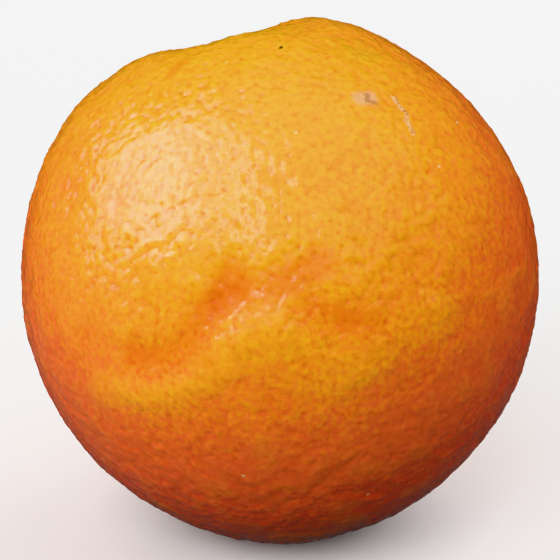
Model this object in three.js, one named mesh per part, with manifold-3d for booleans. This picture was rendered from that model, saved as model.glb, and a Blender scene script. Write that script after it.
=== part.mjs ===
// A ripe table orange, as picked: the fruit, and the dry button of its clipped stalk, which sits in the
// hollow at the stem end.
//
// Millimetres, +Z up. The fruit rests on a small flat spot, and the centre of that spot is the origin.
// The front is -Y. The stem end leans to the back and a little to the left, and the blossom end is opposite,
// low at the front.

import * as THREE from "three";
import { mergeVertices } from "three/addons/utils/BufferGeometryUtils.js";
import Module from "manifold-3d";

// ---- Driving dimensions ----

const FRUIT_RADIUS = 39; // a fruit 78 mm across
const CENTRE_HEIGHT = 37.85; // from the resting surface to the middle of the fruit
const MESH_DETAIL = 18; // each side of the icosahedron is cut into one more piece than this

const HOLLOW_DEPTH = 4.9; // the hollow that the stalk grows from
const HOLLOW_WIDTH = 13; // degrees from its middle to where it has lost two thirds of its depth
const FURROWS = 6; // soft folds that run out of the hollow, over its rim
const FURROW_DEPTH = 0.35;
const FURROW_AT = 20; // degrees from the stem axis to where the folds are deepest
const FURROW_SPREAD = 10; // degrees over which they fade, both ways

const SCAR_DEPTH = 0.5; // the dimple that the blossom fell from
const SCAR_WIDTH = 6;

const SEPALS = 5;
const SEPAL_REACH = 4.3; // from the stalk's axis to the tip of a sepal
const SEPAL_NOTCH = 2.7; // and to the bottom of the notch between two
const SEPAL_THICKNESS = 0.5;
const SEPAL_EDGE = 0.15; // the rounding of their edges
const SEAT_GAP = 0.35; // between the button and the floor of the hollow
const SEPAL_STEPS = 8; // points of its outline to each sepal
const DISC_RADIUS = 2.1; // the disc that the sepals grow from
const DISC_BOTTOM = 0.25; // its heights, from the underside of the sepals at the middle
const DISC_TOP = 1.2;
const STALK_RADIUS = 1.35;
const STALK_HEIGHT = 2.2; // of the clipped stub, from the same place
const STALK_EDGE = 0.15; // the bevel round its cut
const STALK_SIDES = 20;

// ---- Directions ----

// A unit vector: turn is degrees round the fruit from the front, towards the right, and lift is degrees above
// level.
function toward(turn, lift) {
  const a = THREE.MathUtils.degToRad(turn);
  const e = THREE.MathUtils.degToRad(lift);
  return new THREE.Vector3(Math.sin(a) * Math.cos(e), -Math.cos(a) * Math.cos(e), Math.sin(e));
}

const degreesBetween = (a, b) => THREE.MathUtils.radToDeg(a.angleTo(b));

// 1 at the middle of a swell, falling smoothly to nothing a few widths away.
const swell = (degrees, width) => Math.exp(-((degrees / width) ** 2));

const STEM = toward(-145, 65);
const STEM_TURN = new THREE.Quaternion().setFromUnitVectors(new THREE.Vector3(0, 0, 1), STEM);
const BLOSSOM = STEM.clone().negate();
const FIRST_FURROW = toward(-57, 63);

// ---- The fruit's shape ----

// No fruit is a ball. Each row raises or sinks the skin round one direction: its width in degrees, and its
// height in millimetres.
const LUMPS = [
  { at: STEM, width: 34, height: 0.9 }, // the neck round the stem end
  { at: toward(136, 72), width: 14, height: 0.65 }, // shoulder right of the hollow
  { at: toward(-97, 38), width: 22, height: 1.05 }, // shoulder left of the hollow
  { at: toward(-121, 75), width: 12, height: -2 }, // low lip of the hollow, on its front
  { at: toward(20, -72), width: 29, height: 1 }, // full base, towards the front
  { at: toward(70, 35), width: 35, height: 0.3 }, // full right side
  { at: toward(175, -5), width: 34, height: -0.5 }, // flatter back
];

// Long shallow dents where the peel has sunk as it dried, and the ridges that they push up beside them. Each
// follows a path over the skin.
const CREASES = [
  // the main crease, down the left of the front, its fainter arm to the right, and the ridge under it
  { path: [toward(-10, 18), toward(-14, 11), toward(-21, 1), toward(-31, -2)], width: 3.6, height: -0.72 },
  { path: [toward(-13, 12), toward(0, 17), toward(13, 23)], width: 3.6, height: -0.32 },
  { path: [toward(5, 6.5), toward(-8, 7.5), toward(-19, -5), toward(-39, -10)], width: 4, height: 0.5 },
  // a shorter one to the right, the ridge under that, and a nick above it
  { path: [toward(6, 11), toward(20, 7)], width: 3.6, height: -0.3 },
  { path: [toward(10, -3), toward(23, 5), toward(34, 9)], width: 4.2, height: 0.34 },
  { path: [toward(32, 23), toward(28, 16.5)], width: 3.4, height: -0.25 },
  // a dent in the back
  { path: [toward(150, 12), toward(178, -6)], width: 6, height: -0.5 },
];

// How many degrees a direction lies from the arc between two others.
function degreesFromArc(direction, from, to) {
  const across = new THREE.Vector3().crossVectors(from, to).normalize();
  const foot = direction.clone().projectOnPlane(across).normalize();
  const besideIt = Math.max(foot.angleTo(from), foot.angleTo(to)) <= from.angleTo(to);
  if (besideIt) return Math.abs(90 - degreesBetween(direction, across));
  return Math.min(degreesBetween(direction, from), degreesBetween(direction, to));
}

function degreesFromPath(direction, path) {
  const arcs = path.slice(1).map((to, i) => degreesFromArc(direction, path[i], to));
  return Math.min(...arcs);
}

// How far round the stem axis a direction lies, in radians.
const STEM_SIDE = new THREE.Vector3().crossVectors(STEM, toward(0, 0)).normalize();
const STEM_UP = new THREE.Vector3().crossVectors(STEM, STEM_SIDE);
const roundStem = (direction) => Math.atan2(direction.dot(STEM_UP), direction.dot(STEM_SIDE));

// The hollow at the stem end, with folds that run over its rim.
function stemEnd(direction) {
  const away = degreesBetween(direction, STEM);
  const around = roundStem(direction) - roundStem(FIRST_FURROW);
  const uneven = 0.75 + 0.25 * Math.cos(2 * around + 1);
  const folds = -FURROW_DEPTH * uneven * Math.cos(FURROWS * around + 0.8 * Math.sin(around));
  return -HOLLOW_DEPTH * swell(away, HOLLOW_WIDTH) + folds * swell(away - FURROW_AT, FURROW_SPREAD);
}

// From the middle of the fruit to its skin.
function skinRadius(direction) {
  let r = FRUIT_RADIUS + stemEnd(direction);
  r -= SCAR_DEPTH * swell(degreesBetween(direction, BLOSSOM), SCAR_WIDTH);
  for (const { at, width, height } of LUMPS) r += height * swell(degreesBetween(direction, at), width);
  for (const { path, width, height } of CREASES)
    r += height * swell(degreesFromPath(direction, path), width);
  // Where it would reach below the resting surface, the fruit is pressed flat.
  return direction.z < 0 ? Math.min(r, CENTRE_HEIGHT / -direction.z) : r;
}

function fruitGeometry() {
  const ball = new THREE.IcosahedronGeometry(1, MESH_DETAIL);
  ball.deleteAttribute("normal");
  ball.deleteAttribute("uv");
  const geometry = mergeVertices(ball, 1e-5);
  // One corner of the icosahedron points straight down, so that the flat spot has an even outline.
  const corner = new THREE.Vector3(0, 1, (1 + Math.sqrt(5)) / 2).normalize();
  geometry.applyQuaternion(new THREE.Quaternion().setFromUnitVectors(corner, new THREE.Vector3(0, 0, -1)));
  const places = geometry.getAttribute("position");
  const direction = new THREE.Vector3();
  for (let i = 0; i < places.count; i++) {
    direction.fromBufferAttribute(places, i).normalize();
    const radius = skinRadius(direction);
    const z = direction.z * radius + CENTRE_HEIGHT;
    // On the flat spot the height is exactly zero.
    places.setXYZ(i, direction.x * radius, direction.y * radius, z < 1e-3 ? 0 : z);
  }
  geometry.computeVertexNormals();
  return geometry;
}

// ---- The stem button ----

const wasm = await Module();
wasm.setup();

function solidFrom(geometry) {
  const bare = geometry.clone();
  bare.deleteAttribute("normal");
  bare.deleteAttribute("uv");
  const merged = mergeVertices(bare, 1e-4);
  return new wasm.Manifold(
    new wasm.Mesh({
      numProp: 3,
      vertProperties: new Float32Array(merged.getAttribute("position").array),
      triVerts: new Uint32Array(merged.index.array),
    }),
  );
}

function geometryFrom(solid) {
  const mesh = solid.getMesh();
  const geometry = new THREE.BufferGeometry();
  geometry.setAttribute("position", new THREE.BufferAttribute(mesh.vertProperties, 3));
  geometry.setIndex(new THREE.BufferAttribute(mesh.triVerts, 1));
  geometry.computeVertexNormals();
  return geometry;
}

// How far the floor of the hollow lies above its middle, at a small distance out from the stem axis.
function floorRise(x, y) {
  const middle = skinRadius(STEM);
  const direction = new THREE.Vector3(x, y, middle).normalize();
  return direction.z * skinRadius(direction.clone().applyQuaternion(STEM_TURN)) - middle;
}

// The five dried sepals, grown together into a small star that lies along the floor of the hollow.
function sepalStar() {
  const middle = (SEPAL_REACH + SEPAL_NOTCH) / 2 - SEPAL_EDGE;
  const swing = (SEPAL_REACH - SEPAL_NOTCH) / 2;
  const outline = [];
  for (let i = 0; i < SEPALS * SEPAL_STEPS; i++) {
    const a = (2 * Math.PI * i) / (SEPALS * SEPAL_STEPS);
    const reach = middle + swing * Math.cos(SEPALS * a);
    outline.push(new THREE.Vector2(reach * Math.cos(a), reach * Math.sin(a)));
  }
  const star = new THREE.ExtrudeGeometry(new THREE.Shape(outline), {
    depth: SEPAL_THICKNESS - 2 * SEPAL_EDGE,
    bevelThickness: SEPAL_EDGE,
    bevelSize: SEPAL_EDGE,
    bevelSegments: 1,
    steps: 1,
  });
  const places = star.getAttribute("position");
  for (let i = 0; i < places.count; i++) {
    const rise = floorRise(places.getX(i), places.getY(i));
    places.setZ(i, places.getZ(i) + SEPAL_EDGE + rise);
  }
  return star;
}

// The small disc that the sepals grow from, and on it the stub of the stalk, clipped off flat.
function stalkStub() {
  const profile = [
    [0, DISC_BOTTOM],
    [DISC_RADIUS, DISC_BOTTOM],
    [DISC_RADIUS, DISC_TOP - 0.3],
    [DISC_RADIUS - 0.4, DISC_TOP],
    [STALK_RADIUS, DISC_TOP + 0.35],
    [STALK_RADIUS, STALK_HEIGHT - STALK_EDGE],
    [STALK_RADIUS - STALK_EDGE, STALK_HEIGHT],
    [0, STALK_HEIGHT],
  ].map(([r, z]) => new THREE.Vector2(r, z));
  return new THREE.LatheGeometry(profile, STALK_SIDES).rotateX(Math.PI / 2);
}

const buttonGeometry = () => geometryFrom(solidFrom(sepalStar()).add(solidFrom(stalkStub())));

// ---- The scene graph ----

const peel = new THREE.MeshStandardMaterial({ name: "peel", color: 0xee8512, roughness: 0.42, metalness: 0 });
const driedCalyx = new THREE.MeshStandardMaterial({
  name: "dried_calyx",
  color: 0x6f7038,
  roughness: 0.8,
  metalness: 0,
});

const fruit = new THREE.Mesh(fruitGeometry(), peel);
fruit.name = "fruit";

const stemButton = new THREE.Mesh(buttonGeometry(), driedCalyx);
stemButton.name = "stem_button";
stemButton.position.z = skinRadius(STEM) + SEAT_GAP;

// The button's own +Z is the stem axis.
const stemAxis = new THREE.Group();
stemAxis.quaternion.copy(STEM_TURN);
stemAxis.position.z = CENTRE_HEIGHT;
stemAxis.add(stemButton);

const orange = new THREE.Group();
orange.add(fruit, stemAxis);

export default orange;
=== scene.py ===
# %% [markdown]
# # A ripe orange
#
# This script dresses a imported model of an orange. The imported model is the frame: it says where the
# fruit is, how large it is, and where the dry button of its stalk sits. It is never moved. The
# script grows a finely pitted peel over the fruit and a dried button in the hollow, and then sets
# up a plain studio.
#
# Lengths are in metres, and most are written as a number of millimetres times MM.

# %% Load the frame
import math

import bmesh
import bpy
import numpy as np
from mathutils import Matrix, Vector, noise
from mathutils.bvhtree import BVHTree
from mathutils.geometry import delaunay_2d_cdt


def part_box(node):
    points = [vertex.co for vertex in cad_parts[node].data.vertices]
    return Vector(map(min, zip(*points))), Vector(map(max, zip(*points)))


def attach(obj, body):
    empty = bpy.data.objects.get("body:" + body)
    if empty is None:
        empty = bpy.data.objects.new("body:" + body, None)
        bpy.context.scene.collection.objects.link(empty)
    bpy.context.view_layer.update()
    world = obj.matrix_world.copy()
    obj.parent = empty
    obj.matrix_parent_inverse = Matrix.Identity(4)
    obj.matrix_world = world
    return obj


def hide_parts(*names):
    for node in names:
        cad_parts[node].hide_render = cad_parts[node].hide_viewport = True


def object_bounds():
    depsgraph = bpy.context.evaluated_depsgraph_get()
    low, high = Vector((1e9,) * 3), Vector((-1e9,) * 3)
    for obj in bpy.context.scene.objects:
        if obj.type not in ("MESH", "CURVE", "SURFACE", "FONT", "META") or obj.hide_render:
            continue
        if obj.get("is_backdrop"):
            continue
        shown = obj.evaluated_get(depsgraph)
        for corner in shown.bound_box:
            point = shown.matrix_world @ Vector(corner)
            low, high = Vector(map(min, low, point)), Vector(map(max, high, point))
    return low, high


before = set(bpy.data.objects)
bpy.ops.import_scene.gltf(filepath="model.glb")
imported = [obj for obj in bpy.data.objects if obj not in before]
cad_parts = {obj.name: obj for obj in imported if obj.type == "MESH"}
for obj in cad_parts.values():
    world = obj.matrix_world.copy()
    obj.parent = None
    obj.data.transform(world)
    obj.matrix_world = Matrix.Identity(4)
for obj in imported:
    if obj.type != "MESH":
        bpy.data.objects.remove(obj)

MM = 0.001
cad_low, cad_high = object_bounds()
size_mm = (cad_high - cad_low) / MM
print(f"the orange is {size_mm.x:.1f} by {size_mm.y:.1f} mm, and {size_mm.z:.1f} mm tall")

# %% [markdown]
# ## Places on a fruit
#
# A fruit has no straight edges to measure from, so a place on its skin is a direction from its
# middle: a turn round it, from the front towards the right, and a lift above level. The stem end
# leans to the back and a little to the left, and the blossom end is opposite it.

# %% Directions from the middle
MIDDLE = Vector((0, 0, 37.85 * MM))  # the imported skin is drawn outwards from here
BALL_RADIUS = 39 * MM  # a ball that fits the fruit, give or take a millimetre or two


def toward(turn, lift):
    """The unit vector turned so many degrees from the front, and lifted so many above level."""
    a, e = math.radians(turn), math.radians(lift)
    return Vector((math.sin(a) * math.cos(e), -math.cos(a) * math.cos(e), math.sin(e)))


STEM_END = (-145, 65)
BLOSSOM_END = (35, -65)
STEM = toward(*STEM_END)
_, fruit_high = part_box("fruit")
print(f"the skin is {(fruit_high.z - MIDDLE.z) / MM:.1f} mm from the middle at the top")

# %% [markdown]
# ## Two helpers for nodes
#
# Geometry and materials are both made with nodes here. One helper adds a node, sets its properties,
# and links or fills its inputs. An input goes by the name that Blender shows, or by its number
# where several share a name. The other helper turns an sRGB hex colour into the linear light that
# sockets hold.

# %% Node and colour helpers
def add_node(tree, kind, inputs=None, **settings):
    """Adds a node. Each input is a value, another node (for its first output), or an output socket."""
    made = tree.nodes.new(kind)
    for name, value in settings.items():
        setattr(made, name, value)
    for key, value in (inputs or {}).items():
        shown = [s for s in made.inputs if s.enabled]
        socket = shown[key] if isinstance(key, int) else next(s for s in shown if s.name == key)
        if isinstance(value, bpy.types.Node):
            value = next(s for s in value.outputs if s.enabled)
        if isinstance(value, bpy.types.NodeSocket):
            tree.links.new(value, socket)
        else:
            socket.default_value = value
    return made


def colour(hex_code):
    """The linear colour, with full alpha, of an sRGB code such as "#EE8512"."""
    parts = [int(hex_code[i : i + 2], 16) / 255 for i in (1, 3, 5)]
    return (*(p / 12.92 if p <= 0.04045 else ((p + 0.055) / 1.055) ** 2.4 for p in parts), 1.0)


print("a middling orange in linear light:", [round(c, 3) for c in colour("#EE8512")])

# %% [markdown]
# ## Geometry trees
#
# A tree of geometry nodes is a recipe with named sizes. The helpers below open a tree with its
# named inputs, close it so that it leaves real geometry with a material, and run it on a piece.
# After a run the piece is a plain mesh again, with no modifier.

# %% Open, close and run a tree
SOCKET_KINDS = {int: "NodeSocketInt", float: "NodeSocketFloat", bpy.types.Object: "NodeSocketObject"}


def open_tree(name, sizes):
    """A geometry tree with an input for each of the sizes, and the sockets that they arrive at."""
    tree = bpy.data.node_groups.new(name, "GeometryNodeTree")
    tree.interface.new_socket("Geometry", in_out="INPUT", socket_type="NodeSocketGeometry")
    for size_name, value in sizes.items():
        tree.interface.new_socket(size_name, in_out="INPUT", socket_type=SOCKET_KINDS[type(value)])
    tree.interface.new_socket("Material", in_out="INPUT", socket_type="NodeSocketMaterial")
    tree.interface.new_socket("Geometry", in_out="OUTPUT", socket_type="NodeSocketGeometry")
    return tree, add_node(tree, "NodeGroupInput").outputs


def close_tree(tree, geometry):
    """Ends a tree: real geometry, with the material that was handed in."""
    real = add_node(tree, "GeometryNodeRealizeInstances", {"Geometry": geometry})
    handed_in = next(n for n in tree.nodes if n.bl_idname == "NodeGroupInput").outputs["Material"]
    finished = add_node(tree, "GeometryNodeSetMaterial", {"Geometry": real, "Material": handed_in})
    add_node(tree, "NodeGroupOutput", {"Geometry": finished})


def run_tree(piece, tree, sizes, material):
    """Runs a tree on a piece and keeps the result as its plain mesh."""
    modifier = piece.modifiers.new(tree.name, "NODES")
    modifier.node_group = tree
    handed_in = {**sizes, "Material": material}
    for socket in tree.interface.items_tree:
        if socket.in_out == "INPUT" and socket.name in handed_in:
            modifier[socket.identifier] = handed_in[socket.name]
    ready = piece.evaluated_get(bpy.context.evaluated_depsgraph_get())
    mesh = bpy.data.meshes.new_from_object(ready)
    piece.modifiers.clear()
    piece.data = mesh


def new_piece(name, mesh=None):
    """A new object in the scene, with its place in its mesh."""
    piece = bpy.data.objects.new(name, mesh or bpy.data.meshes.new(name))
    bpy.context.scene.collection.objects.link(piece)
    return piece


def new_material(name):
    """A material with no nodes yet, its tree, and its Object coordinates."""
    material = bpy.data.materials.new(name)
    material.use_nodes = True
    material.node_tree.nodes.clear()
    place = add_node(material.node_tree, "ShaderNodeTexCoord").outputs["Object"]
    return material, material.node_tree, place


peel, peel_tree, peel_place = new_material("waxed_orange_peel")

# %% [markdown]
# ## Oil pits
#
# An orange peel is full of oil glands. As the fruit ripens the skin over each gland sinks, so the
# peel is covered in round pits about 1.4 mm apart and half a millimetre wide. They are even, but in
# no pattern.
#
# Displacement of an evenly divided ball would need millions of faces before each pit had a centre
# and a rim. Here the mesh is grown from the pits instead. Poisson scattering throws many random
# points on a ball and keeps those that are far enough from the rest, which is very close to how
# glands lie. Each pit gets a point at its centre and a ring of six on its rim. A second, closer
# scattering fills the skin between. How deep every point lies in its pit is worked out here too,
# while the shape is still a ball and distances are easy.

# %% Scatter the pits and the points between
PIT_SIZES = {
    "Ball Radius": BALL_RADIUS,
    "Pit Spacing": 1.16 * MM,  # the least between two pits; on the average it is a fifth more
    "Pit Radius": 0.29 * MM,  # of the ring of points
    "Pit Reach": 0.62 * MM,  # from its centre to level skin
    "Fill Spacing": 0.5 * MM,
    "Fill Clearance": 0.58 * MM,  # from a filling point to the nearest pit
    "Seed": 11,
}
RIM_POINTS = 6
PIT_WIDTHS = {"Min": 0.8, "Max": 1.25}  # of the rim, as parts of its radius
PIT_DEPTHS = {"Min": 0.55, "Max": 1.25}
THROWS_PER_M2 = 1.2e7
FILL_SEED = 3
pit_tree, given = open_tree("Scatter oil pits", PIT_SIZES)
ball = add_node(pit_tree, "GeometryNodeMeshIcoSphere", {"Radius": given["Ball Radius"], "Subdivisions": 5})


def scatter(spacing, seed):
    """Random points on the ball, no closer than spacing, and a turn for each that faces outwards."""
    thrown = add_node(
        pit_tree,
        "GeometryNodeDistributePointsOnFaces",
        {"Mesh": ball, "Distance Min": spacing, "Density Max": THROWS_PER_M2, "Seed": seed},
        distribute_method="POISSON",
    )
    return on_ball(thrown.outputs["Points"]), thrown.outputs["Rotation"]


def on_ball(points):
    """Moves points straight out from the middle of the ball, onto it."""
    place = add_node(pit_tree, "GeometryNodeInputPosition")
    outward = add_node(pit_tree, "ShaderNodeVectorMath", {0: place}, operation="NORMALIZE")
    onto = add_node(
        pit_tree, "ShaderNodeVectorMath", {0: outward, "Scale": given["Ball Radius"]}, operation="SCALE"
    )
    return add_node(pit_tree, "GeometryNodeSetPosition", {"Geometry": points, "Position": onto})


pits, faces_out = scatter(given["Pit Spacing"], given["Seed"])
rim = add_node(
    pit_tree,
    "GeometryNodeMeshCircle",
    {"Vertices": RIM_POINTS, "Radius": given["Pit Radius"]},
    fill_type="TRIANGLE_FAN",  # the fan has a point at its centre as well
)
width_of_pit = add_node(
    pit_tree, "FunctionNodeRandomValue", {**PIT_WIDTHS, "Seed": given["Seed"]}, data_type="FLOAT"
)
rims = add_node(
    pit_tree,
    "GeometryNodeInstanceOnPoints",
    {"Points": pits, "Instance": rim, "Rotation": faces_out, "Scale": width_of_pit},
)
rim_points = on_ball(add_node(pit_tree, "GeometryNodeRealizeInstances", {"Geometry": rims}))

fill, _ = scatter(given["Fill Spacing"], FILL_SEED)
to_pit = add_node(pit_tree, "GeometryNodeProximity", {"Geometry": pits}, target_element="POINTS")
crowded = add_node(
    pit_tree,
    "FunctionNodeCompare",
    {"A": to_pit.outputs["Distance"], "B": given["Fill Clearance"]},
    data_type="FLOAT",
    operation="LESS_THAN",
)
sparse_fill = add_node(pit_tree, "GeometryNodeDeleteGeometry", {"Geometry": fill, "Selection": crowded})
fill_points = add_node(pit_tree, "GeometryNodePointsToVertices", {"Points": sparse_fill})
every_point = add_node(pit_tree, "GeometryNodeJoinGeometry")
for some_points in (rim_points, fill_points):
    pit_tree.links.new(some_points.outputs[0], every_point.inputs["Geometry"])

# %% How deep each point lies in its pit
in_pit = add_node(
    pit_tree,
    "ShaderNodeMapRange",
    {"Value": to_pit.outputs["Distance"], "From Max": given["Pit Reach"], "To Min": 1.0, "To Max": 0.0},
    interpolation_type="SMOOTHSTEP",
)
nearest_pit = add_node(pit_tree, "GeometryNodeSampleNearest", {"Geometry": pits}, domain="POINT")
depth_of_pit = add_node(
    pit_tree,
    "FunctionNodeRandomValue",
    {**PIT_DEPTHS, "ID": nearest_pit, "Seed": given["Seed"]},
    data_type="FLOAT",
)
depth = add_node(pit_tree, "ShaderNodeMath", {0: in_pit, 1: depth_of_pit}, operation="MULTIPLY")
with_depth = add_node(
    pit_tree,
    "GeometryNodeStoreNamedAttribute",
    {"Geometry": every_point, "Name": "pit", "Value": depth},
    data_type="FLOAT",
    domain="POINT",
)
close_tree(pit_tree, with_depth)
skin = new_piece("orange_skin")
run_tree(skin, pit_tree, PIT_SIZES, peel)
print("points on the ball:", len(skin.data.vertices))

# %% [markdown]
# ## Joining the points
#
# The most even triangles for points on a ball are the Delaunay ones. A stereographic map looks at
# the ball from one of its own points and lays everything it sees on a plane. It keeps circles as
# circles, so the Delaunay triangles of the flat map are also those of the ball. The point it looks
# from has no place on the map. It is the stem's, under the button, and it is joined to the edge of
# the map at the end, which closes the ball.

# %% Even triangles all over the ball
def join_on_ball(mesh, pole):
    """Replaces a mesh of loose points on a ball with even triangles over the whole ball."""
    upright = pole.rotation_difference(Vector((0, 0, 1)))
    flat_map = []
    for vertex in mesh.vertices:
        seen = upright @ vertex.co.normalized()
        flat_map.append(Vector((seen.x, seen.y)) / (1 - seen.z))
    _, _, triangles, came_from, _, _ = delaunay_2d_cdt(flat_map, [], [], 0, 1e-9)
    faces = [[came_from[corner][0] for corner in triangle] for triangle in triangles]
    depths = np.empty(len(mesh.vertices), dtype=np.float32)
    mesh.attributes["pit"].data.foreach_get("value", depths)

    joined = bpy.data.meshes.new(mesh.name)
    joined.from_pydata([v.co for v in mesh.vertices], [], faces)
    joined.attributes.new("pit", "FLOAT", "POINT").data.foreach_set("value", depths)
    closing = bmesh.new()
    closing.from_mesh(joined)
    tip = closing.verts.new(pole * BALL_RADIUS)
    for edge in [e for e in closing.edges if e.is_boundary]:
        closing.faces.new((*edge.verts, tip))
    bmesh.ops.recalc_face_normals(closing, faces=closing.faces)
    closing.to_mesh(joined)
    closing.free()
    return joined


skin.data = join_on_ball(skin.data, STEM)
print("triangles in the peel:", len(skin.data.polygons))

# %% [markdown]
# ## The skin over the fruit
#
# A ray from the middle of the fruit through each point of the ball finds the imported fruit's skin,
# and the point moves there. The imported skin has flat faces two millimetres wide, so the distances
# that the rays find are blurred along the mesh. That rounds the facets off and leaves the swells
# and creases.
#
# Then comes the relief: one height for each point, by which the skin moves along its own normal.
# Pits go in. Pebbles a few millimetres long, which break up every reflection on a real peel, rise
# and sink. A broad faint swell keeps light from lying on the fruit as on a ball. The whole skin
# sinks by the highest rise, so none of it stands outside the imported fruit's box, and nothing may
# lie under the surface that the fruit rests on.

# %% Drape the skin
SKIN_SIZES = {
    "Fruit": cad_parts["fruit"],
    "Middle Height": MIDDLE.z,
    "Blur Steps": 14,
    "Broad Blur Steps": 160,
    "Pit Depth": 0.12 * MM,
    "Pebble Size": 1.3 * MM,  # of the noise's cells: a pebble is nearly two of them
    "Pebble Height": 0.3 * MM,
    "Swell Size": 6.0 * MM,
    "Swell Height": 0.28 * MM,
    "Sink": 0.28 * MM,
}
skin_tree, given = open_tree("Skin over the fruit", SKIN_SIZES)
fruit = add_node(
    skin_tree, "GeometryNodeObjectInfo", {"Object": given["Fruit"]}, transform_space="ORIGINAL"
)
ball_place = add_node(skin_tree, "GeometryNodeInputPosition")
outward = add_node(skin_tree, "ShaderNodeVectorMath", {0: ball_place}, operation="NORMALIZE")
middle = add_node(skin_tree, "ShaderNodeCombineXYZ", {"Z": given["Middle Height"]})
ray = add_node(
    skin_tree,
    "GeometryNodeRaycast",
    {
        "Target Geometry": fruit.outputs["Geometry"],
        "Source Position": middle,
        "Ray Direction": outward,
        "Ray Length": 2 * BALL_RADIUS,
    },
    data_type="FLOAT",
)
rounded = add_node(
    skin_tree,
    "GeometryNodeBlurAttribute",
    {"Value": ray.outputs["Hit Distance"], "Iterations": given["Blur Steps"]},
    data_type="FLOAT",
)
broad = add_node(
    skin_tree,
    "GeometryNodeBlurAttribute",
    {"Value": rounded, "Iterations": given["Broad Blur Steps"]},
    data_type="FLOAT",
)
bulge = add_node(skin_tree, "ShaderNodeMath", {0: rounded, 1: broad}, operation="SUBTRACT")
bulge_mm = add_node(skin_tree, "ShaderNodeMath", {0: bulge, 1: MM}, operation="DIVIDE")
with_bulge = add_node(
    skin_tree,
    "GeometryNodeStoreNamedAttribute",
    {"Geometry": given["Geometry"], "Name": "bulge", "Value": bulge_mm},
    data_type="FLOAT",
    domain="POINT",
)
reach = add_node(skin_tree, "ShaderNodeVectorMath", {0: outward, "Scale": rounded}, operation="SCALE")
skin_place = add_node(skin_tree, "ShaderNodeVectorMath", {0: reach, 1: middle}, operation="ADD")
draped = add_node(
    skin_tree, "GeometryNodeSetPosition", {"Geometry": with_bulge, "Position": skin_place}
)

# %% Raise the pebbles and sink the pits
def ripple(size, detail):
    """A noise that wavers about zero, mostly between minus and plus a half, over cells of that size."""
    scale = add_node(skin_tree, "ShaderNodeMath", {0: 1.0, 1: size}, operation="DIVIDE")
    wave = add_node(
        skin_tree,
        "ShaderNodeTexNoise",
        {"Scale": scale, "Detail": detail, "Roughness": 0.5, "Distortion": 0.6},
    )
    return add_node(
        skin_tree,
        "ShaderNodeMapRange",
        {"Value": wave, "From Min": 0.25, "From Max": 0.75, "To Min": -0.5, "To Max": 0.5},
    )


rippled = draped
for ripple_name, size, detail in (("pebble", "Pebble Size", 2.0), ("swell", "Swell Size", 1.0)):
    rippled = add_node(
        skin_tree,
        "GeometryNodeStoreNamedAttribute",
        {"Geometry": rippled, "Name": ripple_name, "Value": ripple(given[size], detail)},
        data_type="FLOAT",
        domain="POINT",
    )
heights = []
for name, size in (("pebble", "Pebble Height"), ("swell", "Swell Height"), ("pit", "Pit Depth")):
    part = add_node(skin_tree, "GeometryNodeInputNamedAttribute", {"Name": name}, data_type="FLOAT")
    heights.append(add_node(skin_tree, "ShaderNodeMath", {0: part, 1: given[size]}, operation="MULTIPLY"))
swollen = add_node(skin_tree, "ShaderNodeMath", {0: heights[0], 1: heights[1]}, operation="ADD")
pitted = add_node(skin_tree, "ShaderNodeMath", {0: swollen, 1: heights[2]}, operation="SUBTRACT")
relief = add_node(skin_tree, "ShaderNodeMath", {0: pitted, 1: given["Sink"]}, operation="SUBTRACT")
skin_normal = add_node(skin_tree, "GeometryNodeInputNormal")
shift = add_node(skin_tree, "ShaderNodeVectorMath", {0: skin_normal, "Scale": relief}, operation="SCALE")
raised = add_node(skin_tree, "GeometryNodeSetPosition", {"Geometry": rippled, "Offset": shift})

# %% Rest it on the surface
raised_place = add_node(skin_tree, "GeometryNodeInputPosition")
along = add_node(skin_tree, "ShaderNodeSeparateXYZ", {0: raised_place}).outputs
not_under = add_node(skin_tree, "ShaderNodeMath", {0: along["Z"], 1: 0.0}, operation="MAXIMUM")
resting_place = add_node(
    skin_tree, "ShaderNodeCombineXYZ", {"X": along["X"], "Y": along["Y"], "Z": not_under}
)
resting = add_node(skin_tree, "GeometryNodeSetPosition", {"Geometry": raised, "Position": resting_place})
smooth = add_node(skin_tree, "GeometryNodeSetShadeSmooth", {"Geometry": resting})
close_tree(skin_tree, smooth)
run_tree(skin, skin_tree, SKIN_SIZES, peel)
skin_tops = max(v.co.z for v in skin.data.vertices)
print(f"the peel's top is {(fruit_high.z - skin_tops) / MM:.2f} mm under the packed fruit's")

# %% [markdown]
# ## The peel's colour
#
# Orange peel, waxed: a thin waxy cuticle over a coloured rind. The colour is not one orange. It is
# palest high on the front, and deepens to red towards the base and the flanks. This is partly the
# rind's own colour and partly painted light: paler where the main light falls, and redder, as
# painted shade, on the base and flanks that it misses. The back hung in the shade of the leaves,
# and is a middling orange. All this is one number, and a colour ramp turns it into the rind's
# colours. Mottling a centimetre or so wide and flecks under a millimetre wide shift that number up
# or down. The pebbles shift it as painted light and shade, up on their tops and down in their
# hollows. None mixes in a colour of its own, so that they look right on pale skin and on dark.

# %% Rind colours
RIND_COLOURS = {
    0.05: "#D84E36",
    0.2: "#E4623E",
    0.4: "#E96E40",
    0.5: "#EC7A3C",
    0.6: "#ED8836",
    0.7: "#EE9432",
    0.8: "#EEA12C",
    0.9: "#EEAA2B",
    1.0: "#EFB32C",
}
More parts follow.
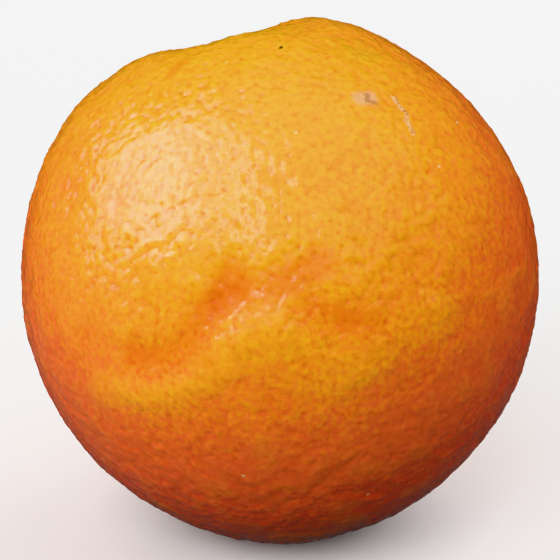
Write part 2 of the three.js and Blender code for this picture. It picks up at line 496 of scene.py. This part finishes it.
# PALEST points to where the main light falls: the rind is painted palest there, as painted light
PALEST = toward(-14, 48)
SHADED = toward(180, 15)  # the side that hung in the shade keeps a middling orange
REDDEST, SHADE_PALENESS, PALEST_OF_ALL = -0.1, 0.62, 1.0  # the number that runs along the ramp
MOTTLE_WIDTH, FLECK_WIDTH = 13 * MM, 0.8 * MM
MOTTLING, FLECKING, PEBBLE_SHADING = 0.22, 0.7, 0.16  # how far each shifts the colour, as a part of its range
tree = peel_tree
from_middle = add_node(tree, "ShaderNodeVectorMath", {0: peel_place, 1: MIDDLE}, operation="SUBTRACT")
outward = add_node(tree, "ShaderNodeVectorMath", {0: from_middle}, operation="NORMALIZE")
towards_pale = add_node(tree, "ShaderNodeVectorMath", {0: outward, 1: PALEST}, operation="DOT_PRODUCT")
towards_shade = add_node(tree, "ShaderNodeVectorMath", {0: outward, 1: SHADED}, operation="DOT_PRODUCT")
in_shade = add_node(
    tree,
    "ShaderNodeMapRange",
    {
        "Value": towards_shade.outputs["Value"],
        "From Min": -0.5,
        "From Max": 0.5,
        "To Min": REDDEST,
        "To Max": SHADE_PALENESS,
    },
)
paleness = add_node(
    tree, "ShaderNodeMath", {0: towards_pale.outputs["Value"], 1: in_shade}, operation="MAXIMUM"
)
mottle = add_node(
    tree,
    "ShaderNodeTexNoise",
    {"Vector": peel_place, "Scale": 1 / MOTTLE_WIDTH, "Detail": 3.0, "Roughness": 0.55},
)
flecks = add_node(
    tree,
    "ShaderNodeTexNoise",
    {"Vector": peel_place, "Scale": 1 / FLECK_WIDTH, "Detail": 2.0, "Roughness": 0.6},
)
made_values = {
    name: add_node(tree, "ShaderNodeAttribute", attribute_name=name).outputs["Fac"]
    for name in ("pebble", "swell", "pit", "bulge")
}
# the pebbles shift the colour as painted light and shade: paler on their tops, redder in their hollows
for variation, amount in ((mottle, MOTTLING), (flecks, FLECKING), (made_values["pebble"], PEBBLE_SHADING)):
    paleness = add_node(
        tree, "ShaderNodeMath", {0: variation, 1: amount, 2: paleness}, operation="MULTIPLY_ADD"
    )
middling = (MOTTLING + FLECKING) / 2  # both noises waver about a half, and the pebbles about zero
along_ramp = add_node(
    tree,
    "ShaderNodeMapRange",
    {"Value": paleness, "From Min": REDDEST + middling, "From Max": PALEST_OF_ALL + middling},
)
rind = add_node(tree, "ShaderNodeValToRGB", {"Fac": along_ramp})
stops = rind.color_ramp.elements
for i, (at, code) in enumerate(RIND_COLOURS.items()):
    stop = stops[i] if i < 2 else stops.new(at)
    stop.position, stop.color = at, colour(code)


def lay(tree, base, code, over, start=0.0, full=1.0, share=1.0):
    """Lays a colour over a base: none of it where `over` is at start, and its whole share at full."""
    shows = add_node(
        tree, "ShaderNodeMapRange", {"Value": over, "From Min": start, "From Max": full, "To Max": share}
    )
    layers = {"Factor": shows, "A": base, "B": colour(code)}
    return add_node(tree, "ShaderNodeMix", layers, data_type="RGBA")


print("the rind runs through", len(stops), "colours")

# %% [markdown]
# ## Marks on the peel
#
# A tree-grown orange has marks: where a twig rubbed it, the skin heals into a pale grey scab, a
# thorn leaves a scratch, and here and there is a dark speck. Each mark is a place on the skin, so
# the material works on a ball of the fruit's size: the direction from the middle, times the ball's
# radius in millimetres. A mark is then a distance from a point or from a line between points, and a
# little noise frays its edge. The creases of the front are painted in the same way: their floors
# redder, as painted shade, and the ridges beside them flecked with yellow, as painted light. The
# underside is painted dark, as painted shade, and a few pale dots are painted glints of tiny bumps.

# %% Distances over the ball
ball_mm = BALL_RADIUS / MM
on_skin = add_node(tree, "ShaderNodeVectorMath", {0: outward, "Scale": ball_mm}, operation="SCALE")
FRAY_WIDTH = 0.625  # mm, of the teeth that a frayed edge has
FRAY_RANGE = (1.3, 1.3, 1.3)  # mm, from the farthest in that the noise moves an edge to the farthest out
MIDDLE_GREY = (0.5, 0.5, 0.5)
fray = add_node(
    tree, "ShaderNodeTexNoise", {"Vector": on_skin, "Scale": 1 / FRAY_WIDTH, "Detail": 3.0, "Roughness": 0.6}
)
fray_shift = add_node(
    tree, "ShaderNodeVectorMath", {0: fray.outputs["Color"], 1: MIDDLE_GREY}, operation="SUBTRACT"
)
frayed_skin = add_node(
    tree, "ShaderNodeVectorMath", {0: fray_shift, 1: FRAY_RANGE, 2: on_skin}, operation="MULTIPLY_ADD"
)


def near(path, width, frayed=True):
    """A mask that is 1 on a path of (turn, lift) places, and 0 farther than width mm from it."""
    surface = frayed_skin if frayed else on_skin
    points = [toward(*place) * ball_mm for place in path]
    nearest = None
    for start, end in zip(points, points[1:] or points):
        along = end - start
        from_start = add_node(tree, "ShaderNodeVectorMath", {0: surface, 1: start}, operation="SUBTRACT")
        rest = from_start
        if along.length > 0:
            per_length = along / along.length_squared
            part = add_node(
                tree, "ShaderNodeVectorMath", {0: from_start, 1: per_length}, operation="DOT_PRODUCT"
            )
            on_it = add_node(tree, "ShaderNodeClamp", {"Value": part.outputs["Value"]})
            foot = add_node(tree, "ShaderNodeVectorMath", {0: along, "Scale": on_it}, operation="SCALE")
            rest = add_node(tree, "ShaderNodeVectorMath", {0: from_start, 1: foot}, operation="SUBTRACT")
        far = add_node(tree, "ShaderNodeVectorMath", {0: rest}, operation="LENGTH").outputs["Value"]
        if nearest:
            far = add_node(tree, "ShaderNodeMath", {0: nearest, 1: far}, operation="MINIMUM")
        nearest = far
    return add_node(
        tree,
        "ShaderNodeMapRange",
        {"Value": nearest, "From Min": 0.3 * width, "From Max": width, "To Min": 1.0, "To Max": 0.0},
        interpolation_type="SMOOTHSTEP",
    )


# %% Colour the swells, the creases and the ends, with painted light and shade
# painted light and shade: skin that stands proud is painted yellower, and skin sunk below its surroundings
# redder
lie = add_node(  # in mm, above zero where the skin stands proud of the skin round it
    tree,
    "ShaderNodeMath",
    {0: made_values["swell"], 1: 0.25, 2: made_values["bulge"]},
    operation="MULTIPLY_ADD",
)
tone = lay(tree, rind.outputs["Color"], "#E8701C", lie, full=-0.4, share=0.35)
tone = lay(tree, tone, "#F2B034", lie, full=0.3, share=0.4)
PAINTED_SHADE_VALLEYS = [
    [(-10, 18.5), (-14, 11), (-18, 3.5), (-22, -0.5), (-31, -2)],
    [(-12, 13), (0, 17), (9, 21)],
    [(6, 11), (20, 7)],
]
CREASE_WIDTH, RIDGE_WIDTH = 3.2, 5.5  # mm, from the middle to where the colour ends
PAINTED_LIGHT_RIDGES = [[(6, 6.5), (-7.5, 8), (-16, 0), (-24, -5.5), (-33, -8.5)], [(10, -3), (23, 5), (34, 9)]]
# painted shade: the floors of the creases are painted redder
for path in PAINTED_SHADE_VALLEYS:
    tone = lay(tree, tone, "#E4641C", near(path, CREASE_WIDTH), share=0.38)
# painted light: the ridges beside the creases are painted yellower, in flecks
ridge_light_flecks = add_node(
    tree,
    "ShaderNodeMapRange",
    {"Value": flecks, "From Min": 0.35, "From Max": 0.6, "To Min": 0.05, "To Max": 0.4},
)
for path in PAINTED_LIGHT_RIDGES:
    tone = lay(tree, tone, "#F4B232", near(path, RIDGE_WIDTH), share=ridge_light_flecks)
# painted shade: the underside is painted dark red-brown
upness = add_node(tree, "ShaderNodeSeparateXYZ", {0: outward}).outputs["Z"]
underside = add_node(
    tree,
    "ShaderNodeMapRange",
    {"Value": upness, "From Min": -0.6, "From Max": -0.95},
    interpolation_type="SMOOTHSTEP",
)
tone = lay(tree, tone, "#9C3A24", underside, share=0.7)
AROUND_THE_STEM = [  # path, width in mm, colour and share
    ([STEM_END], 13.0, "#B9A62E", 0.35),  # the green that is left at the stem end
    ([(56, 68.5)], 4.0, "#C9B83A", 0.25),
    # painted shade: a deeper orange line along the furrow over the rim of the hollow
    ([(-58.6, 66), (-55, 60.8)], 1.3, "#D8560C", 0.35),  # the furrow over the rim of the hollow
]
for path, width, code, share in AROUND_THE_STEM:
    tone = lay(tree, tone, code, near(path, width), share=share)
# the pits are painted darker and redder: partly the glands' own colour, and partly painted shade in the pits
tone = lay(tree, tone, "#CC541A", made_values["pit"], start=0.25, full=1.2, share=0.5)
print("coloured creases and ridges:", len(PAINTED_SHADE_VALLEYS) + len(PAINTED_LIGHT_RIDGES))

# %% Colour the scab, the scratch and the speck, and paint the glints
SCAB, SCAB_WIDTH = [(31.5, 56.4), (35.4, 56.4)], 1.9
SCAB_CORE, SCAB_CORE_WIDTH = [(35.2, 57.2), (33.8, 55.8), (35.8, 54.9)], 0.7
SCRATCH, SCRATCH_WIDTH = [(46.1, 55), (45.3, 52.5), (45.6, 50.4), (43.6, 48.6), (42.7, 45.7)], 0.62
SPECK, SPECK_WIDTH = [(0.6, 75.2), (1.0, 75.5)], 0.42
# painted highlights: pale dots where tiny bumps would catch the light
PAINTED_GLINTS = [(-31.8, 68.3), (4.9, 49.1), (45.6, 37.3), (-8.5, -27.1), (23.6, -36.1), (65.6, 44.5)]
PAINTED_GLINT_WIDTH = 0.36
BLOSSOM_SCAR_WIDTH = 2.2
scab = near(SCAB, SCAB_WIDTH)
scratch = near(SCRATCH, SCRATCH_WIDTH)
tone = lay(tree, tone, "#E2B494", scab, share=0.65)
tone = lay(tree, tone, "#96583A", near(SCAB_CORE, SCAB_CORE_WIDTH), share=0.55)
for code, low, high, least, most in (("#F0C496", 0.35, 0.55, 0.2, 0.8), ("#A8562A", 0.52, 0.4, 0.0, 0.6)):
    broken = add_node(  # the scratch comes and goes along its length, pale where it isn't brown
        tree,
        "ShaderNodeMapRange",
        {"Value": fray, "From Min": low, "From Max": high, "To Min": least, "To Max": most},
    )
    tone = lay(tree, tone, code, scratch, share=broken)
tone = lay(tree, tone, "#3A2412", near(SPECK, SPECK_WIDTH, frayed=False), share=0.95)
for dot in PAINTED_GLINTS:
    tone = lay(tree, tone, "#F6DDA0", near([dot], PAINTED_GLINT_WIDTH, frayed=False), share=0.7)
tone = lay(tree, tone, "#7A4A22", near([BLOSSOM_END], BLOSSOM_SCAR_WIDTH), share=0.8)
print("marks on the peel:", 4 + len(PAINTED_GLINTS))

# %% [markdown]
# ## The peel's gloss
#
# The wax is smooth but thin, and follows every pebble, so a window is seen in the peel as a cluster
# of small glints. A clear coat gives that, with light that enters the rind spreading about a
# millimetre before it leaves, red light the farthest. The finest grain, smaller than any pit, is
# drawn as bump.

# %% Shade the peel
GRAIN_WIDTH = 0.6 * MM
COAT_ROUGHNESS = 0.13  # one value, because a coat's roughness is lost in the export if nodes drive it
grain = add_node(
    tree,
    "ShaderNodeTexNoise",
    {"Vector": peel_place, "Scale": 1 / GRAIN_WIDTH, "Detail": 2.0, "Roughness": 0.55},
)
grain_bump = add_node(tree, "ShaderNodeBump", {"Height": grain, "Strength": 0.45, "Distance": 0.1 * MM})
scabbed = add_node(tree, "ShaderNodeMath", {0: scab, 1: scratch}, operation="MAXIMUM")
flaky = add_node(
    tree,
    "ShaderNodeMapRange",
    {"Value": fray, "From Min": 0.3, "From Max": 0.7, "To Min": 0.4, "To Max": 1.0},
)
rough_scab = add_node(tree, "ShaderNodeMath", {0: scabbed, 1: flaky}, operation="MULTIPLY")
skin_bump = add_node(
    tree,
    "ShaderNodeBump",
    {"Height": rough_scab, "Strength": 0.6, "Distance": 0.15 * MM, "Normal": grain_bump},
)
dull = add_node(tree, "ShaderNodeMath", {0: scabbed, 1: made_values["pit"]}, operation="MAXIMUM")
rough = add_node(tree, "ShaderNodeMapRange", {"Value": dull, "To Min": 0.45, "To Max": 0.7})
waxed = add_node(tree, "ShaderNodeMapRange", {"Value": scabbed, "To Min": 1.0, "To Max": 0.2})
shader = add_node(
    tree,
    "ShaderNodeBsdfPrincipled",
    {
        "Base Color": tone,
        "Roughness": rough,
        "IOR": 1.45,
        "Specular IOR Level": 0.0,
        "Subsurface Weight": 0.5,
        "Subsurface Radius": (1.0, 0.35, 0.1),
        "Subsurface Scale": 1.2 * MM,
        "Coat Weight": waxed,
        "Coat Roughness": COAT_ROUGHNESS,
        "Coat IOR": 1.5,
        "Normal": skin_bump,
        "Coat Normal": skin_bump,
    },
)
add_node(tree, "ShaderNodeOutputMaterial", {"Surface": shader})
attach(skin, "root")
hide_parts("fruit")
print("the peel's material has", len(tree.nodes), "nodes")

# %% [markdown]
# ## The stem button
#
# What is left of the flower stands in the hollow: five sepals grown together into a small star,
# dried hard, and the stub of the stalk, clipped off flat. It is one piece, so it is one closed mesh
# of rings, from the middle of the cut out over the stub and the sepals, round their edge, and back
# underneath. The sepals lie on the floor of the hollow, so a ray finds that floor under each point.

# %% Find the button's seat
out_of_stem = STEM.to_track_quat("Z", "Y").to_matrix()
button_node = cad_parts["stem_button"]
axial = [(v.co - MIDDLE).dot(STEM) for v in button_node.data.vertices]
STUB_TOP = max(axial)
across = max(((v.co - MIDDLE) - STEM * (v.co - MIDDLE).dot(STEM)).length for v in button_node.data.vertices)
floor_finder = BVHTree.FromPolygons(
    [v.co for v in skin.data.vertices], [p.vertices for p in skin.data.polygons]
)


def floor_under(x, y):
    """The height along the stem axis of the hollow's floor, at x, y to the side of the axis."""
    start = MIDDLE + out_of_stem @ Vector((x, y, STUB_TOP + 5 * MM))
    found, _, _, _ = floor_finder.ray_cast(start, -STEM)
    return (found - MIDDLE).dot(STEM)


SEAT = floor_under(0, 0)
STUB_HEIGHT = STUB_TOP - SEAT
print(f"the stub is {STUB_HEIGHT / MM:.1f} mm tall, and the sepals reach {across / MM:.1f} mm out")

# %% Rings of the button
SPOKES = 160
SEPALS = 5
SEPAL_TIP, SEPAL_NOTCH = across, 2.7 * MM
STUB_RADIUS, DISC_RADIUS = 1.32 * MM, 2.05 * MM
STUB_FOOT = 1.55 * MM  # heights above the seat: where the stub flares out, and the top of the disc
DISC_TOP = 1.4 * MM
PITH_DIP = 0.22 * MM  # how far the pith has shrunk into the cut
SEPAL_THICKNESS, SEPAL_ROOT = 0.28 * MM, 0.75 * MM  # at the tips, and how much more at the disc
UNDER_GAP = 0.06 * MM


def ragged(x, y, z, size):
    """A smooth random number about zero for a place, over about that size."""
    return noise.noise(Vector((x, y, z)) / size)


def sepal_reach(angle):
    """How far the star reaches at that angle. Each sepal has a blunt tip, and no two are alike."""
    wave = 0.5 + 0.5 * math.cos(SEPALS * angle)
    own_length = 1 - 0.16 * abs(ragged(math.cos(angle) * 3, math.sin(angle) * 3, 7.0, 1.3))
    return SEPAL_NOTCH + (SEPAL_TIP - SEPAL_NOTCH) * wave**1.4 * own_length


def button_rings():
    """The rings, from the middle of the cut to the middle of the underside.

    Each is a function of the angle that gives a radius, a height above the seat, and a height above
    the floor of the hollow. One of the two heights is None.
    """
    rings = []
    for part in (0.12, 0.3, 0.5, 0.68, 0.82, 0.92, 1.0):  # the cut end, hollow where its pith has shrunk
        cut_height = STUB_HEIGHT - 0.06 * MM - PITH_DIP * (1 - part**2) ** 1.5
        rings.append(lambda a, r=part * STUB_RADIUS, h=cut_height: (r, h, None))
    for part in (0.0, 0.12, 0.3, 0.5, 0.7, 0.86, 1.0):  # down the stub, which flares onto the disc
        flare = 1.02 * (1 + 0.16 * part**3 - 0.04 * math.sin(math.pi * part))
        side_height = STUB_HEIGHT - 0.14 * MM - part * (STUB_HEIGHT - STUB_FOOT)
        rings.append(lambda a, r=flare * STUB_RADIUS, h=side_height: (r, h, None))
    for part in (0.35, 0.7, 1.0):  # the disc, rounded at its edge
        disc_radius = STUB_RADIUS * 1.18 + part * (DISC_RADIUS - STUB_RADIUS * 1.18)
        disc_height = DISC_TOP - 0.35 * MM * part**2
        rings.append(lambda a, r=disc_radius, h=disc_height: (r, h, None))
    for part in (0.1, 0.25, 0.42, 0.6, 0.76, 0.88, 0.96, 1.0):  # out over the sepals
        above_floor = SEPAL_THICKNESS + SEPAL_ROOT * (1 - part) ** 2.2
        rings.append(
            lambda a, p=part, h=above_floor: (DISC_RADIUS + p * (sepal_reach(a) - DISC_RADIUS), None, h)
        )
    for part in (1.0, 0.97, 0.7, 0.4, 0.1):  # back underneath
        rings.append(lambda a, p=part: (p * sepal_reach(a), None, UNDER_GAP))
    return rings


def ring_point(ring, angle):
    """The place of one point of a ring, with the midribs and the wrinkles of dried skin."""
    radius, height, above_floor = ring(angle)
    x, y = radius * math.cos(angle), radius * math.sin(angle)
    if height is None:
        height = floor_under(x, y) - SEAT + above_floor
        if above_floor > UNDER_GAP:
            height += 0.09 * MM * math.cos(SEPALS * angle) + 0.1 * MM * ragged(x, y, 3.0, 0.6 * MM)
    wrinkle = 0.05 * MM * ragged(math.cos(angle) * 2, math.sin(angle) * 2, height / (3 * MM), 0.35)
    x, y = x + wrinkle * math.cos(angle), y + wrinkle * math.sin(angle)
    return MIDDLE + out_of_stem @ Vector((x, y, SEAT + height))


def build_button():
    """The closed mesh of the button."""
    made = bmesh.new()
    angles = [2 * math.pi * i / SPOKES for i in range(SPOKES)]
    loops = [[made.verts.new(ring_point(ring, angle)) for angle in angles] for ring in button_rings()]
    for upper, lower in zip(loops, loops[1:]):
        for i in range(SPOKES):
            j = (i + 1) % SPOKES
            made.faces.new((upper[i], lower[i], lower[j], upper[j]))
    for loop, lift in ((loops[0], STUB_HEIGHT - 0.06 * MM - PITH_DIP), (loops[-1], UNDER_GAP)):
        tip = made.verts.new(MIDDLE + STEM * (SEAT + lift))
        for i in range(SPOKES):
            made.faces.new((loop[i], loop[(i + 1) % SPOKES], tip))
    bmesh.ops.recalc_face_normals(made, faces=made.faces)
    mesh = bpy.data.meshes.new("dried_stem_button")
    made.to_mesh(mesh)
    made.free()
    mesh.polygons.foreach_set("use_smooth", [True] * len(mesh.polygons))
    return mesh


button = new_piece("dried_stem_button", build_button())
print("triangles in the button:", 2 * len(button.data.polygons))

# %% [markdown]
# ## The button's finish
#
# Dried calyx: dead plant skin, dull and wrinkled, gone from green to straw and brown. Its fibres
# run outwards, so the material works with the distance from the stalk and the direction around it.
# The cut end of the stub shows paler wood round a dark pith.

# %% Distances round the stalk
calyx, tree, place = new_material("dried_calyx")
seat_place = MIDDLE + STEM * SEAT
from_seat = add_node(tree, "ShaderNodeVectorMath", {0: place, 1: seat_place}, operation="SUBTRACT")
seat_mm = add_node(tree, "ShaderNodeVectorMath", {0: from_seat, "Scale": 1 / MM}, operation="SCALE")
lift_dot = add_node(tree, "ShaderNodeVectorMath", {0: seat_mm, 1: STEM}, operation="DOT_PRODUCT")
height_mm = lift_dot.outputs["Value"]
upward = add_node(tree, "ShaderNodeVectorMath", {0: STEM, "Scale": height_mm}, operation="SCALE")
sideways = add_node(tree, "ShaderNodeVectorMath", {0: seat_mm, 1: upward}, operation="SUBTRACT")
radius_mm = add_node(tree, "ShaderNodeVectorMath", {0: sideways}, operation="LENGTH").outputs["Value"]
spoke = add_node(tree, "ShaderNodeVectorMath", {0: sideways}, operation="NORMALIZE")
FIBRES = 7.0  # across one radius: they spread from the stalk like spokes
rays = add_node(
    tree, "ShaderNodeTexNoise", {"Vector": spoke, "Scale": FIBRES, "Detail": 3.0, "Roughness": 0.7}
)
blotch = add_node(
    tree, "ShaderNodeTexNoise", {"Vector": seat_mm, "Scale": 1.3, "Detail": 4.0, "Roughness": 0.65}
)
print(f"the bundles of fibres are {across / MM / FIBRES:.1f} mm wide at the tips of the sepals")

# %% Colour the dried calyx
cut_mm = STUB_HEIGHT / MM
tone = lay(tree, colour("#6E7036"), "#8A7A48", blotch, start=0.35, full=0.65)
tone = lay(tree, tone, "#4E4424", rays, start=0.45, full=0.7, share=0.6)
tone = lay(tree, tone, "#A08A58", radius_mm, start=3.2, full=4.2, share=0.5)  # the dry tips
within_stub = add_node(tree, "ShaderNodeMapRange", {"Value": radius_mm, "From Min": 1.28, "From Max": 1.12})
at_top = add_node(
    tree, "ShaderNodeMapRange", {"Value": height_mm, "From Min": cut_mm - 0.6, "From Max": cut_mm - 0.4}
)
on_cut = add_node(tree, "ShaderNodeMath", {0: within_stub, 1: at_top}, operation="MULTIPLY")
tone = lay(tree, tone, "#B9A274", on_cut)
FIBRE_RINGS = ("#7E6640", rays, 0.4, 0.6, 0.6)
PITH = ("#5E4A2C", radius_mm, 0.45, 0.25, 1.0)
for code, value, low, high, most in (FIBRE_RINGS, PITH):
    part_of_cut = add_node(
        tree, "ShaderNodeMapRange", {"Value": value, "From Min": low, "From Max": high, "To Max": most}
    )
    tone = lay(tree, tone, code, on_cut, share=part_of_cut)
wrinkles = add_node(tree, "ShaderNodeMath", {0: rays, 1: blotch}, operation="ADD")
calyx_bump = add_node(tree, "ShaderNodeBump", {"Height": wrinkles, "Strength": 0.7, "Distance": 0.12 * MM})
shader = add_node(
    tree,
    "ShaderNodeBsdfPrincipled",
    {"Base Color": tone, "Roughness": 0.78, "IOR": 1.5, "Specular IOR Level": 0.3, "Normal": calyx_bump},
)
add_node(tree, "ShaderNodeOutputMaterial", {"Surface": shader})
button.data.materials.append(calyx)
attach(button, "root")
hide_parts("stem_button")

# %% [markdown]
# ## The floor
#
# The fruit stands on a broad sheet of white paper, with nothing else in sight. The paper shows to
# the camera and takes the fruit's shadow, and far out, where the lamps don't reach, it glows as
# white as the room behind it. Its light is kept off the fruit, whose underside is dark: what little
# light comes from below is the room's.
#
# White paper: rough fibres that scatter light evenly, with no gloss to speak of.

# %% The floor
FLOOR_HALF = 8.0
GLOW_FROM, GLOW_FULL = 0.5, 1.5  # metres from the fruit
floor_mesh = bpy.data.meshes.new("floor")
corners = [(-1, -1), (1, -1), (1, 1), (-1, 1)]
floor_mesh.from_pydata([(FLOOR_HALF * x, FLOOR_HALF * y, 0) for x, y in corners], [], [(0, 1, 2, 3)])
floor = new_piece("floor", floor_mesh)
paper, tree, place = new_material("white_paper")
far_out = add_node(tree, "ShaderNodeVectorMath", {0: place}, operation="LENGTH").outputs["Value"]
glow = add_node(
    tree,
    "ShaderNodeMapRange",
    {"Value": far_out, "From Min": GLOW_FROM, "From Max": GLOW_FULL, "To Max": 2.0},
    interpolation_type="SMOOTHSTEP",
)
shader = add_node(
    tree,
    "ShaderNodeBsdfPrincipled",
    {
        "Base Color": colour("#F2F2F2"),
        "Roughness": 0.9,
        "Emission Color": (1, 1, 1, 1),
        "Emission Strength": glow,
    },
)
add_node(tree, "ShaderNodeOutputMaterial", {"Surface": shader})
floor.data.materials.append(paper)
floor.visible_diffuse = False
floor.visible_glossy = False
floor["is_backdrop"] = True
print(f"the floor is {2 * FLOOR_HALF:.0f} m wide")

# %% [markdown]
# ## The room
#
# A pale studio lights the fruit softly from all round, more from above than below and more from the
# front than the back. What the wax mirrors is another matter. A gloss is seen only where something
# bright stands behind the viewer, so the mirrored room has one broad pale patch of ceiling over the
# front, a faint pale floor, and is dark elsewhere. That keeps the edges of the fruit deep in
# colour. The light path tells the two apart, and gives the camera a plain near-white background.

# %% The room
world = bpy.data.worlds.new("soft_studio")
bpy.context.scene.world = world
world.use_nodes = True
tree = world.node_tree
tree.nodes.clear()
ray_direction = add_node(tree, "ShaderNodeTexCoord").outputs["Generated"]
up = add_node(tree, "ShaderNodeSeparateXYZ", {0: ray_direction}).outputs["Z"]
frontward, skyward = (
    add_node(tree, "ShaderNodeVectorMath", {0: ray_direction, 1: way}, operation="DOT_PRODUCT")
    for way in (toward(-25, 10), toward(0, 60))
)
frontward, skyward = frontward.outputs["Value"], skyward.outputs["Value"]
ROOM = {  # the brightness goes with a value: from one value to another, from one brightness to another
    "above": (up, -0.1, 0.4, 0.02, 0.3),
    "in front": (frontward, -0.4, 1.0, 0.8, 1.2),
    "ceiling": (skyward, 0.25, 0.95, 0.03, 1.15),
    "over the horizon": (up, 0.2, 0.42, 0.2, 1.0),
    "off the floor": (up, -0.15, -0.5, 0.0, 0.13),
}
bright = {
    name: add_node(
        tree,
        "ShaderNodeMapRange",
        {"Value": value, "From Min": low, "From Max": high, "To Min": at_low, "To Max": at_high},
        interpolation_type="SMOOTHSTEP",
    )
    for name, (value, low, high, at_low, at_high) in ROOM.items()
}
room_light = add_node(
    tree, "ShaderNodeMath", {0: bright["above"], 1: bright["in front"]}, operation="MULTIPLY"
)
mirrored_room = add_node(
    tree,
    "ShaderNodeMath",
    {0: bright["ceiling"], 1: bright["over the horizon"], 2: bright["off the floor"]},
    operation="MULTIPLY_ADD",
)

# %% Tell the looks apart
BACKGROUND_STRENGTH = 2.4
ray_kind = add_node(tree, "ShaderNodeLightPath").outputs
strength = room_light
for kind, brightness in (("Is Glossy Ray", mirrored_room), ("Is Camera Ray", BACKGROUND_STRENGTH)):
    strength = add_node(
        tree, "ShaderNodeMix", {"Factor": ray_kind[kind], "A": strength, "B": brightness}, data_type="FLOAT"
    )
background = add_node(tree, "ShaderNodeBackground", {"Color": (1, 1, 1, 1), "Strength": strength})
add_node(tree, "ShaderNodeOutputWorld", {"Surface": background})
print("the room has", len(tree.nodes), "nodes")

# %% [markdown]
# ## Lamps
#
# The main light is a large softbox at the front, to the left and a little above. Fills at the sides
# and behind keep the far flanks from going black. These show in the colour of the rind only. What
# shows in the wax is a window high on the left, a bright pane in a dimmer surround, and a narrow
# pane beside it, all of a slightly cool daylight. They hang on a ceiling that slopes up towards the
# back, so their mirror images stand upright on the fruit.
#
# Each softbox is given by the turn and lift of its middle, by how wide and tall the fruit sees it,
# in degrees, and by its brightness. Its power follows from these.

# %% Softboxes
BOX_DISTANCE = 1.25
SLOPE = toward(180, 39)  # up the slope of the ceiling that the boxes hang on
WATTS_PER_M2 = 4  # the power of an area light of brightness 1
DAYLIGHT, WHITE = (0.8, 1.0, 0.98), (1.0, 1.0, 1.0)


def softbox(name, turn, lift, wide, tall, brightness, mirrored):
    """A rectangular light that faces the fruit, and shows in the wax or, if not mirrored, in the rind."""
    light = bpy.data.lights.new(name, "AREA")
    light.shape = "RECTANGLE"
    light.size = 2 * BOX_DISTANCE * math.tan(math.radians(wide) / 2)
    light.size_y = 2 * BOX_DISTANCE * math.tan(math.radians(tall) / 2)
    light.energy = brightness * light.size * light.size_y * WATTS_PER_M2
    light.color = DAYLIGHT if mirrored else WHITE
    lamp = bpy.data.objects.new(name, light)
    bpy.context.scene.collection.objects.link(lamp)
    out = toward(turn, lift)
    rise = (SLOPE - out * SLOPE.dot(out)).normalized()
    facing = Matrix((rise.cross(out), rise, out)).transposed().to_4x4()
    lamp.matrix_world = Matrix.Translation(MIDDLE + out * BOX_DISTANCE) @ facing
    lamp.visible_camera = False
    lamp.visible_glossy = mirrored
    lamp.visible_diffuse = not mirrored


SOFTBOXES = {
    "left_window": (-75, 40, 24, 38, 3.6, True),
    "window_surround": (-84, 40, 56, 50, 2.3, True),
    "narrow_pane": (-24, 49, 10, 50, 3.9, True),
    "front_key": (-24, 26, 50, 50, 3.25, False),
    "right_fill": (90, 15, 60, 60, 1.2, False),
    "left_fill": (-90, 0, 60, 60, 1.15, False),
    "back_right": (150, 25, 60, 60, 1.8, False),
    "back_left": (-150, 5, 60, 60, 1.6, False),
}
for name, facts in SOFTBOXES.items():
    softbox(name, *facts)
print("softboxes:", len(SOFTBOXES))

# %% [markdown]
# ## The camera
#
# A long lens from the front looks a little down on the fruit, which fills the frame. The view keeps
# bright oranges orange instead of letting them fade.

# %% The camera
CAMERA_LIFT = 18
CAMERA_DISTANCE = 351.8 * MM
LOOKED_AT = Vector((0, 0, 37.75 * MM))
camera_data = bpy.data.cameras.new("camera")
camera_data.lens = 150
camera_data.clip_start, camera_data.clip_end = 0.01, 50
camera = bpy.data.objects.new("camera", camera_data)
bpy.context.scene.collection.objects.link(camera)
out = toward(0, CAMERA_LIFT)
camera.location = LOOKED_AT + out * CAMERA_DISTANCE
camera.rotation_mode = "QUATERNION"
camera.rotation_quaternion = out.to_track_quat("Z", "Y")
bpy.context.scene.camera = camera
bpy.context.scene.view_settings.view_transform = "Khronos PBR Neutral"
print(f"the camera is {camera.location.length:.2f} m from the fruit's foot")

# %% [markdown]
# ## Sizes
#
# The peel and the button must stay inside the imported model's box. Both boxes are printed.

# %% Print the sizes, and finish
low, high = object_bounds()
boxes = {"cad": [list(cad_low), list(cad_high)], "visual": [list(low), list(high)]}
for name, (lowest, highest) in boxes.items():
    print(name, [round(v / MM, 3) for v in lowest], [round(v / MM, 3) for v in highest])
